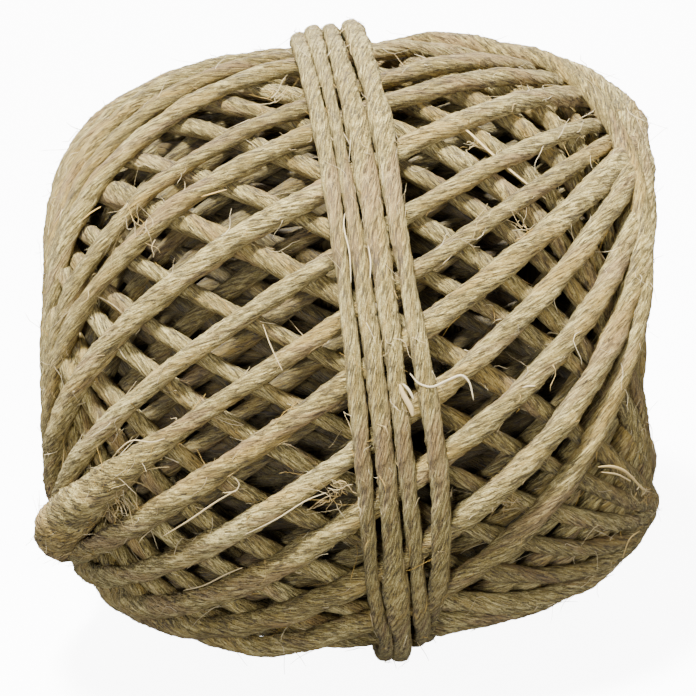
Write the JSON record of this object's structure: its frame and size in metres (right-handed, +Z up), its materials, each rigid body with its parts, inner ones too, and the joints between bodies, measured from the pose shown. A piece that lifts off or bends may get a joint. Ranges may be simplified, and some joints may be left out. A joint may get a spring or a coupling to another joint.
{
  "type": "ball of string",
  "caption": "Ball of natural string wound as a squat barrel of slanting turns, with a band of turns round its waist and a small flat spot to rest on.",
  "frame": {"origin": "on the resting surface, under the middle of the ball's box", "axes": "+X along the winding axis, -Y towards the side with the slub, +Z up from the flat spot"},
  "size_m": [0.0808, 0.0838, 0.0816],
  "materials": {
    "string": "matte undyed plant fibre, loosely spun, dry and slightly hairy"
  },
  "bodies": {
    "root": {"string_ball": "string"}
  },
  "joints": []
}
